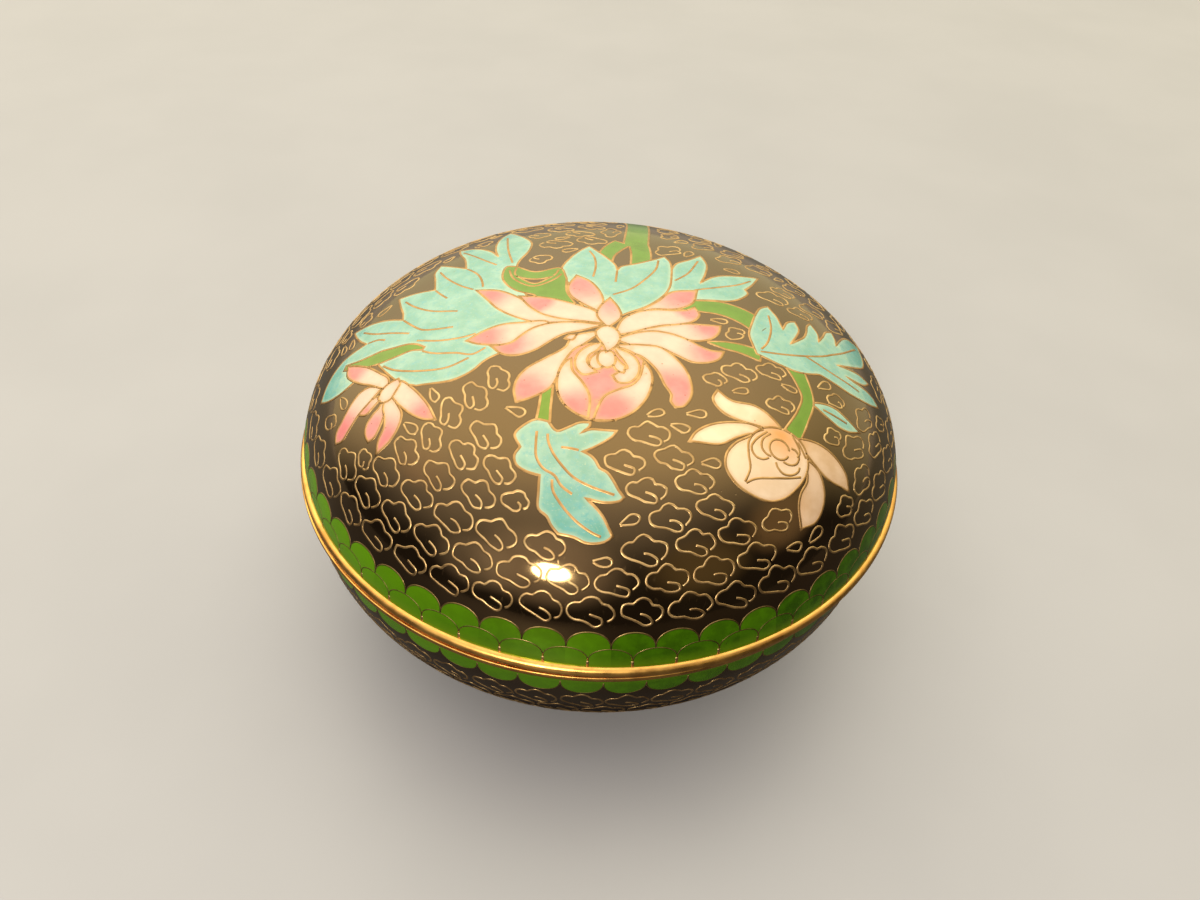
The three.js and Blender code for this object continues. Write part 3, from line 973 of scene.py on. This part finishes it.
class Nodes:
    """A shader's node tree under construction."""

    def __init__(self, tree):
        self.tree = tree

    def set(self, node, socket, value):
        """Sets or links an input, named by its name with _ for spaces, or by _ and its number."""
        key = int(socket[1:]) if socket[1:].isdigit() else socket.replace("_", " ")
        target = node.inputs[key]
        if isinstance(value, bpy.types.NodeSocket):
            self.tree.links.new(value, target)
        else:
            target.default_value = value

    def add(self, kind, settings=None, **sockets):
        node = self.tree.nodes.new(kind)
        for name, value in (settings or {}).items():
            setattr(node, name, value)
        for socket, value in sockets.items():
            self.set(node, socket, value)
        return node

    def between(self, value, low, high, start=0.0, end=1.0):
        """value mapped smoothly from low..high to start..end."""
        ends = {"From_Min": low, "From_Max": high, "To_Min": start, "To_Max": end}
        smoothly = {"interpolation_type": "SMOOTHSTEP"}
        return self.add("ShaderNodeMapRange", smoothly, Value=value, **ends).outputs[0]

    def math(self, operation, *values):
        sockets = {f"_{number}": value for number, value in enumerate(values)}
        return self.add("ShaderNodeMath", {"operation": operation}, **sockets).outputs[0]


class Finish(Nodes):
    """A material under construction, made of shader nodes in the piece's own coordinates."""

    def __init__(self, name, **shader):
        self.material = bpy.data.materials.new(name)
        self.material.use_nodes = True
        super().__init__(self.material.node_tree)
        self.shader = self.tree.nodes["Principled BSDF"]
        for socket, value in shader.items():
            self.set(self.shader, socket, value)
        self.place = self.add("ShaderNodeTexCoord").outputs["Object"]
        self.height = None

    def noise(self, size, detail=3.0, roughness=0.55, stretch=(1, 1, 1)):
        """Soft noise from 0 to 1, with spots about size mm across."""
        place = self.add("ShaderNodeMapping", Vector=self.place, Scale=stretch).outputs[0]
        look = {"Scale": 1 / (size * MM), "Detail": detail, "Roughness": roughness}
        return self.add("ShaderNodeTexNoise", Vector=place, **look).outputs[0]

    def mark(self, name):
        """A number that the mesh keeps at each point."""
        return self.add("ShaderNodeAttribute", {"attribute_name": name}).outputs["Fac"]

    def mix(self, share, a, b):
        """Colour a where share is 0 and colour b where it is 1."""
        a, b = (value if isinstance(value, bpy.types.NodeSocket) else (*value, 1) for value in (a, b))
        return self.add("ShaderNodeMix", {"data_type": "RGBA"}, Factor=share, _6=a, _7=b).outputs[2]

    def cloudy(self, size, detail, high, one, other):
        """Two colours in soft clouds about size mm across."""
        return self.mix(self.between(self.noise(size, detail), 0.35, high), one, other)

    def specks(self, spacing, size, share):
        """1 in small round specks about size mm across, in that share of cells spacing mm across."""
        node = self.add("ShaderNodeTexVoronoi", Vector=self.place, Scale=1 / (spacing * MM), Randomness=1.0)
        spot = self.between(node.outputs["Distance"], 0.3 * size / spacing, 0.6 * size / spacing, 1, 0)
        draw = self.add("ShaderNodeSeparateColor", Color=node.outputs["Color"]).outputs[0]
        return self.math("MULTIPLY", spot, self.math("LESS_THAN", draw, share))

    def relief(self, height, depth):
        """Adds to the surface's relief: height 1 stands depth mm over height 0."""
        node = self.add("ShaderNodeBump", Height=height, Strength=1.0, Distance=depth * MM)
        if self.height:
            self.set(node, "Normal", self.height)
        self.height = node.outputs[0]

    def done(self, colour, roughness):
        self.set(self.shader, "Base_Color", colour)
        self.set(self.shader, "Roughness", roughness)
        if self.height:
            self.set(self.shader, "Normal", self.height)
        return self.material


GLASS_TINT = (0.93, 0.61, 0.27, 1.0)  # the enamel's reflections are a warm brown


class Enamel(Finish):
    """What all the enamel has: a ground and polished face, a little uneven, scratched and pitted."""

    def __init__(self, name, pits, tint=GLASS_TINT):
        super().__init__(name, IOR=1.74, Specular_IOR_Level=1.0, Specular_Tint=tint)
        self.relief(self.noise(5, 1.5), 0.022)
        self.relief(self.noise(1.6, 2), 0.0015)
        self.pit = self.specks(2.6, 0.22, pits)
        self.relief(self.math("SUBTRACT", 1.0, self.pit), 0.02)
        scratch = self.between(self.noise(0.5, 2, stretch=(1, 0.05, 0.4)), 0.66, 0.72)
        haze = self.between(self.noise(14), 0.4, 0.7, 0.07, 0.13)
        self.rough = self.math("MULTIPLY_ADD", scratch, 0.12, haze)

    def fired(self, colour, pit_colour):
        return self.done(self.mix(self.pit, colour, pit_colour), self.rough)


def black_enamel():
    finish = Enamel("black_enamel", 0.3)
    colour = finish.cloudy(5, 3, 0.75, (0.0015, 0.001, 0.001), (0.004, 0.003, 0.002))
    return finish.fired(colour, (0.05, 0.035, 0.022))


def turquoise_enamel(name, edged):
    """Pale, cloudy turquoise, with paler and greener places, and paler along the wires where it is edged."""
    finish = Enamel(name, 0.3)
    colour = finish.cloudy(3.2, 4, 0.68, (0.095, 0.40, 0.35), (0.20, 0.50, 0.44))
    patch = finish.between(finish.noise(0.9, 3, 0.6), 0.45, 0.75)
    colour = finish.mix(patch, colour, (0.09, 0.42, 0.43))
    grain = finish.between(finish.noise(0.35, 2, 0.6), 0.58, 0.75, 0.0, 0.4)
    colour = finish.mix(grain, colour, (0.42, 0.60, 0.42))
    if edged:
        edge = finish.between(finish.mark("edge"), 0.1, 0.5, 0.6, 0.0)
        colour = finish.mix(edge, colour, (0.38, 0.58, 0.42))
    return finish.fired(colour, (0.12, 0.14, 0.09))


def stem_enamel():
    finish = Enamel("stem_enamel", 0.2, (0.75, 0.65, 0.22, 1.0))
    colour = finish.cloudy(3, 4, 0.7, (0.024, 0.165, 0.005), (0.046, 0.21, 0.010))
    edge = finish.between(finish.mark("edge"), 0.0, 0.8, 0.4, 0.0)
    colour = finish.mix(edge, colour, (0.10, 0.24, 0.03))
    return finish.fired(colour, (0.06, 0.09, 0.03))


def scale_enamel():
    """Translucent green over metal: brighter and yellower towards the ring."""
    finish = Enamel("scale_enamel", 0.2, (0.45, 0.75, 0.03, 1.0))
    colour = finish.cloudy(1.8, 4, 0.7, (0.012, 0.050, 0.001), (0.032, 0.11, 0.001))
    # each scale's own random tone, plus painted shade: lighter green on the left, deeper on the right
    colour = finish.mix(finish.mark("tone"), colour, (0.11, 0.29, 0.003))
    near_ring = finish.between(finish.mark("depth"), 0.05, 0.4, 0.5, 0.0)
    colour = finish.mix(near_ring, colour, (0.14, 0.26, 0.004))
    return finish.fired(colour, (0.02, 0.05, 0.002))


def petal_enamel():
    """Opaque cream, blushing to pink at the tips with dark specks, and warmer in the cream flower."""
    finish = Enamel("petal_enamel", 0.35)
    clouds = finish.between(finish.noise(3.5, 3), 0.35, 0.7)
    cream = finish.mix(clouds, (0.67, 0.46, 0.40), (0.745, 0.535, 0.46))
    pink = finish.mix(clouds, (0.60, 0.135, 0.185), (0.67, 0.20, 0.245))
    pale = finish.mix(clouds, (0.76, 0.60, 0.43), (0.83, 0.68, 0.51))
    peach = finish.mix(clouds, (0.56, 0.38, 0.23), (0.66, 0.48, 0.33))
    uneven = finish.math("MULTIPLY_ADD", finish.noise(1.2, 3), 0.5, -0.25)
    blush = finish.math("ADD", finish.mark("blush"), finish.math("MULTIPLY", uneven, 0.35))
    blush = finish.add("ShaderNodeClamp", Value=blush).outputs[0]
    colour = finish.mix(blush, cream, pink)
    colour = finish.mix(finish.mark("warm"), colour, finish.mix(finish.mark("peach"), pale, peach))
    colour = finish.mix(finish.mark("stain"), colour, (0.62, 0.24, 0.05))
    edge = finish.between(finish.mark("edge"), 0.0, 0.5, 0.55, 0.0)
    colour = finish.mix(edge, colour, (0.50, 0.30, 0.15))
    speck = finish.math("MULTIPLY", finish.specks(0.8, 0.24, 0.3), blush)
    colour = finish.mix(speck, colour, (0.20, 0.06, 0.07))
    return finish.fired(colour, (0.30, 0.14, 0.09))


def gilt_wire(name, worn_colour, bright_colour):
    """Drawn gilt wire, ground flush and a little tarnished."""
    finish = Finish(name, Metallic=1.0)
    colour = finish.cloudy(2.4, 4, 0.7, worn_colour, bright_colour)
    rough = finish.between(finish.noise(1.1, 3), 0.3, 0.7, 0.3, 0.5)
    finish.relief(finish.noise(0.3, 2), 0.003)
    return finish.done(colour, rough)


def gilt_brass():
    """Polished gilt brass: turning marks, tarnish in patches, small dents."""
    finish = Finish("gilt_brass", Metallic=1.0)
    tarnish = finish.between(finish.noise(6, 5, 0.6), 0.42, 0.68)
    colour = finish.mix(tarnish, (0.82, 0.47, 0.12), (0.60, 0.285, 0.065))
    grime = finish.between(finish.noise(1.3, 4), 0.62, 0.78, 0.0, 0.6)
    colour = finish.mix(grime, colour, (0.30, 0.15, 0.05))
    turning = finish.noise(0.35, 2, stretch=(0.03, 0.03, 1))
    finish.relief(turning, 0.004)
    finish.relief(finish.noise(2.2, 2), 0.02)
    rough = finish.between(finish.noise(2.0, 3), 0.3, 0.7, 0.24, 0.4)
    return finish.done(colour, rough)


# ---------------------------------------------------------------- the box

# For each kind of cell in the spray: its piece, its finish and its slot.
SPRAY_PIECES = {
    "leaf": ("leaves", turquoise_enamel("turquoise_enamel", edged=True), "turquoise_enamel"),
    "stem": ("stems", stem_enamel(), "green_enamel"),
    "petal": ("petals", petal_enamel(), "petal_enamel"),
}
wire_finish = gilt_wire("gilt_wire", (0.41, 0.26, 0.11), (0.61, 0.42, 0.19))
spray_wire_finish = gilt_wire("spray_wire", (0.37, 0.215, 0.08), (0.54, 0.335, 0.14))
dull_wire_finish = gilt_wire("dull_gilt_wire", (0.19, 0.13, 0.045), (0.34, 0.24, 0.09))
ring_finish = gilt_brass()
ground_finish = black_enamel()
lining_finish = turquoise_enamel("lining_enamel", edged=False)
scale_finish = scale_enamel()

EDGE_REACH = 1.6  # mm from a cell's wire over which its enamel may change colour
STAIN_PLACE, STAIN_REACH, STAIN = (25.4, -23.2), 4.6, 0.9  # brown stain at the heart of the cream flower


def lay_spray(cells):
    """The coloured cells and their wires."""
    mosaic = Mosaic(cells)
    pieces = {kind: Piece() for kind in SPRAY_PIECES}
    owners = np.array(mosaic.owners)
    triangles = np.array(mosaic.triangles)
    for index, cell in enumerate(cells):
        own = triangles[owners == index]
        if cell.kind == "ground" or len(own) == 0:
            continue
        used, local = np.unique(own, return_inverse=True)
        local = [tuple(t) for t in local.reshape(-1, 3)]
        plan = mosaic.points[used]
        marks = {"edge": distance_to_rim(plan, local, EDGE_REACH)}
        if cell.kind in ("petal", "cream"):
            warm = 1.0 if cell.kind == "cream" else 0.0
            away = np.hypot(*(plan - STAIN_PLACE).T)
            marks["stain"] = warm * STAIN * np.clip(1.1 - away / STAIN_REACH, 0, 1)
            marks["blush"] = cell.redness(plan)
            marks["warm"] = np.full(len(plan), warm)
            marks["peach"] = np.full(len(plan), cell.peach)
        kind = "petal" if cell.kind == "cream" else cell.kind
        lay_tile(pieces[kind], lid, plan, local, **marks)
    for kind, (name, finish, record_slot) in SPRAY_PIECES.items():
        pieces[kind].make(name, [finish], record_slot, own_normals=True)
    lines = Piece()
    for path, closed in mosaic.borders():
        lay_wire(lines, lid, path, closed, SPRAY_WIRE_WIDTH)
    for path in mosaic.veins():
        lay_wire(lines, lid, path, width=SPRAY_WIRE_WIDTH, bare_ends=True)
    lines.make("spray_wires", [spray_wire_finish], "gilt_brass")


def lay_clouds(shell, room, name, rows, nearest, farthest, seed, upright):
    lines = Piece()
    for line in cover_with_clouds(shell, room, rows, nearest, farthest, seed, upright):
        lay_wire(lines, shell, line, bare_ends=True)
    lines.make(f"{name}_cloud_wires", [wire_finish], "gilt_brass")


RING_SIDES = 288
RING_CREASE = 50  # degrees: a ring's edges are sharp where its section turns by more


def gilt_ring(name, section, centre, node):
    """A turned brass ring. Its section of (r, z) points closes on itself."""
    r, z = np.array(section).T
    if np.sum(r * np.roll(z, -1) - np.roll(r, -1) * z) > 0:
        section = section[::-1]
    points, faces = lathe(section, centre, RING_SIDES)
    turn = np.arctan2(*(points[:, 1::-1] - centre[::-1]).T)
    spread = LID_RING_RADIUS + np.repeat(np.arange(len(section)), RING_SIDES)
    piece = Piece()
    piece.add(points, faces, spread[:, None] * heading(turn))
    made = piece.make(name, [ring_finish], "gilt_brass", node)
    made.data.set_sharp_from_angle(angle=math.radians(RING_CREASE))


def arc(centre, wide, high, start, end, steps=8):
    """Points of an ellipse's arc between two angles in degrees, in (r, z)."""
    turn = np.radians(np.linspace(start, end, steps + 1))
    return [(centre[0] + wide * math.cos(a), centre[1] + high * math.sin(a)) for a in turn]


def ring_side(radius, edge, up):
    """The outside of an edging ring from its free edge to the enamel, with a round shoulder."""
    small, upright, height = 0.15, 0.5, 1.28
    shoulder = (0.95, height - upright)
    points = arc((radius - small, small), small, small, -90, 0, 4)
    points += arc((radius - shoulder[0], upright), *shoulder, 0, 90)
    return [(r, edge + up * z) for r, z in points]


LID_TIP, LID_VALLEY = 6.0, 3.45  # depths of the scales' tips and of the valleys between them, in mm
BOWL_TIP, BOWL_VALLEY = 3.8, 1.1
LID_FIRST_ROW, BOWL_FIRST_ROW = 2.9, 2.7  # mm from the tips to the middle of the first row of clouds
LAST_ROW = 2.5  # mm from the foot to the middle of the bowl's last row, at the least
TIP_MARGIN, FOOT_MARGIN = 0.35, 0.5  # mm of bare ground between the wires and the tips or the foot

# The lid.
shell_body(lid, lid_inside, "lid_enamel", "enamelled_lid")
cells = [*branch_and_leaves(), *bud_on_the_left(), *flower_on_the_right(), *great_flower()]
lay_spray(cells)
scale_border(lid, "lid", LID_TIP, LID_VALLEY, second_row=True)
lid_room = Room(lid.length)
for cell in cells:
    lid_room.take_shape(cell.polygon)
lid_rows = np.arange(lid.length - LID_TIP - LID_FIRST_ROW, ROW_PITCH, -ROW_PITCH)
lay_clouds(lid, lid_room, "lid", lid_rows, 0, lid.length - LID_TIP - TIP_MARGIN, seed=11, upright=1)

# The bowl, with clouds down to its foot.
shell_body(bowl, bowl_inside, "bowl_enamel", "enamelled_bowl")
scale_border(bowl, "bowl", BOWL_TIP, BOWL_VALLEY)
foot_radius = (foot_high[0] - foot_low[0]) / 2
foot_run = bowl.run_at(foot_radius)
bowl_rows = np.arange(bowl.length - BOWL_TIP - BOWL_FIRST_ROW, foot_run + LAST_ROW, -ROW_PITCH)
bowl_reach = foot_run + FOOT_MARGIN, bowl.length - BOWL_TIP - TIP_MARGIN
lay_clouds(bowl, Room(bowl.length), "bowl", bowl_rows, *bowl_reach, seed=23, upright=-1)

# The gilt rings, each closing the CAD model's fitting gap to its enamel.
FIT_GAP = 0.3
RING_INSET = 3.0
LID_RING_RADIUS = (lid_ring_high[0] - lid_ring_low[0]) / 2
lid_ring_side = ring_side(LID_RING_RADIUS, lid_ring_low[2], 1)
lid_ring_inner = LID_RING_RADIUS - RING_INSET
lid_ring_section = [(lid_ring_inner, lid_ring_low[2]), *lid_ring_side, (lid_ring_inner, lid_ring_high[2])]
gilt_ring("lid_ring", lid_ring_section, LID_CENTRE, "lid_rim")

BOWL_RING_RADIUS = (bowl_ring_high[0] - bowl_ring_low[0]) / 2
LIP_OUTSIDE, LIP_INSIDE, LIP_RISE = 45.4, 44.5, 2.4
lip_top = bowl_ring_high[2]
bowl_ring_top = lip_top - LIP_RISE
bowl_ring_section = [
    (LIP_INSIDE, bowl_ring_low[2]),
    (LIP_INSIDE, lip_top - 0.2),
    (LIP_INSIDE + 0.2, lip_top),
    (LIP_OUTSIDE - 0.3, lip_top),
    (LIP_OUTSIDE, lip_top - 0.4),
    (LIP_OUTSIDE, bowl_ring_top),
    *ring_side(BOWL_RING_RADIUS, bowl_ring_top, -1),
]
gilt_ring("bowl_ring", bowl_ring_section, BOWL_CENTRE, "bowl_rim")

FOOT_THICKNESS, FOOT_ROUND = 1.6, 0.35
foot_inner = foot_radius - FOOT_THICKNESS
foot_section = [
    (foot_radius, bowl.height_at(bowl.run_at(foot_radius)) + FIT_GAP),
    *arc((foot_radius - FOOT_ROUND, FOOT_ROUND), FOOT_ROUND, FOOT_ROUND, 0, -90, 4),
    *arc((foot_inner + FOOT_ROUND, FOOT_ROUND), FOOT_ROUND, FOOT_ROUND, -90, -180, 4),
    (foot_inner, bowl.height_at(bowl.run_at(foot_inner)) + FIT_GAP),
]
gilt_ring("foot_ring_brass", foot_section, BOWL_CENTRE, "foot_ring")


# ---------------------------------------------------------------- studio


def towards(azimuth, elevation):
    """The direction at an azimuth from the back (+y) round to the right, and an elevation, in degrees."""
    a, e = math.radians(azimuth), math.radians(elevation)
    return Vector((math.sin(a) * math.cos(e), math.cos(a) * math.cos(e), math.sin(e)))


def pale_floor():
    """A plain pale floor, which throws back less light than it shows, to keep the black enamel black. What it
    throws back is painted shade and light: nearly black in front of the box and close round it, lighter far
    behind it.
    """
    radius, sides = 2.5, 96  # in metres
    mesh = bpy.data.meshes.new("floor")
    mesh.from_pydata([(x, y, 0) for x, y in radius * heading(full_turn(sides))], [], [range(sides)])
    finish = Finish("floor", IOR=1.6)
    pale = finish.mix(finish.between(finish.noise(60), 0.3, 0.7), (0.345, 0.35, 0.37), (0.365, 0.37, 0.39))
    # painted shade and light: to all but the camera the floor is nearly black up to 0.12 m behind the box's
    # middle, and paler from 0.4 m back
    depth = finish.add("ShaderNodeSeparateXYZ", Vector=finish.place).outputs["Y"]
    thrown_back_painted_shade = finish.mix(finish.between(depth, 0.12, 0.4), (0.022, 0.017, 0.018), (0.30, 0.27, 0.27))
    camera_ray = finish.add("ShaderNodeLightPath").outputs["Is Camera Ray"]
    mesh.materials.append(finish.done(finish.mix(camera_ray, thrown_back_painted_shade, pale), 0.45))
    floor = bpy.data.objects.new("floor", mesh)
    bpy.context.collection.objects.link(floor)


def soft_light(nodes, direction, inner, outer, radiance):
    """Light from every direction within inner degrees of one direction, fading out to nothing at outer."""
    place = nodes.add("ShaderNodeTexCoord").outputs["Generated"]
    dot = nodes.add("ShaderNodeVectorMath", {"operation": "DOT_PRODUCT"}, _0=place, _1=direction)
    low, high = (math.cos(math.radians(angle)) for angle in (outer, inner))
    most = max(radiance)
    strength = nodes.math("MULTIPLY", nodes.between(dot.outputs["Value"], low, high), most)
    colour = (*[value / most for value in radiance], 1)
    return nodes.add("ShaderNodeBackground", Color=colour, Strength=strength).outputs[0]


# The glows of the studio: azimuth and elevation, inner and outer angle in degrees, and radiance.
GLOWS = (
    ((-42, 72), 0, 74, (1.28, 1.20, 1.20)),  # overhead
    ((0, 27), 50, 88, (1.22, 1.10, 0.68)),  # the far wall
    ((-62, 14), 0, 26, (0.45, 0.36, 0.25)),
    ((-139, 23), 0, 18, (0.55, 0.50, 0.50)),
    ((-163, 33), 4, 28, (0.86, 0.74, 0.72)),  # round the key lamp
    ((140, 31), 0, 20, (0.40, 0.32, 0.18)),
    ((104, 29), 0, 16, (0.70, 0.52, 0.34)),
    ((-90, 40), 2, 12, (0.25, 0.09, 0.01)),
)


def studio_light():
    """A dim room with soft glows, the largest overhead and beyond. The camera sees it plain and pale."""
    world = bpy.data.worlds.new("studio")
    world.use_nodes = True
    bpy.context.scene.world = world
    nodes = Nodes(world.node_tree)
    room = world.node_tree.nodes["Background"]
    nodes.set(room, "Color", (1, 0.80, 0.60, 1))
    nodes.set(room, "Strength", 0.05)
    light = room.outputs[0]
    for place, inner, outer, radiance in GLOWS:
        glow = soft_light(nodes, towards(*place), inner, outer, radiance)
        light = nodes.add("ShaderNodeAddShader", _0=light, _1=glow).outputs[0]
    pale = nodes.add("ShaderNodeBackground", Color=(0.72, 0.71, 0.70, 1)).outputs[0]
    seen = nodes.add("ShaderNodeLightPath").outputs["Is Camera Ray"]
    choice = nodes.add("ShaderNodeMixShader", _0=seen, _1=light, _2=pale).outputs[0]
    nodes.set(world.node_tree.nodes["World Output"], "Surface", choice)


KEY_SPOT = Vector((-0.0057, -0.0434, 0.04375))  # the bright spot on the dome, in metres
KEY_DIRECTION = towards(-164.6, 32.8)
KEY_DISTANCE = 0.8


def key_light():
    """A small soft lamp over the viewer's shoulder, whose image is the bright spot on the dome."""
    data = bpy.data.lights.new("key", "AREA")
    data.shape = "ELLIPSE"
    data.size = 0.17
    data.size_y = 0.13
    data.energy = 3.6
    data.color = (1, 0.93, 0.80)
    lamp = bpy.data.objects.new("key", data)
    lamp.location = KEY_SPOT + KEY_DIRECTION * KEY_DISTANCE
    lamp.rotation_euler = KEY_DIRECTION.to_track_quat("Z", "Y").to_euler()
    bpy.context.collection.objects.link(lamp)


CAMERA_PLACE = Vector((0, -0.11655, 0.13333))  # in metres
CAMERA_AIM = Vector((-0.0003, 0.7316, -0.6818))
CAMERA_RIGHT = Vector((0.9982, 0.0411, 0.0436))


def camera():
    """The camera looks down on the box from close by, a little rolled."""
    data = bpy.data.cameras.new("camera")
    data.sensor_width = 36
    data.lens = 27.03
    data.clip_start = 0.01
    view = bpy.data.objects.new("camera", data)
    up = CAMERA_RIGHT.cross(CAMERA_AIM)
    axes = Matrix((CAMERA_RIGHT, up, -CAMERA_AIM)).transposed().to_4x4()
    view.matrix_world = Matrix.Translation(CAMERA_PLACE) @ axes
    bpy.context.collection.objects.link(view)
    bpy.context.scene.camera = view


pale_floor()
studio_light()
key_light()
camera()
bpy.context.scene.view_settings.view_transform = "Standard"
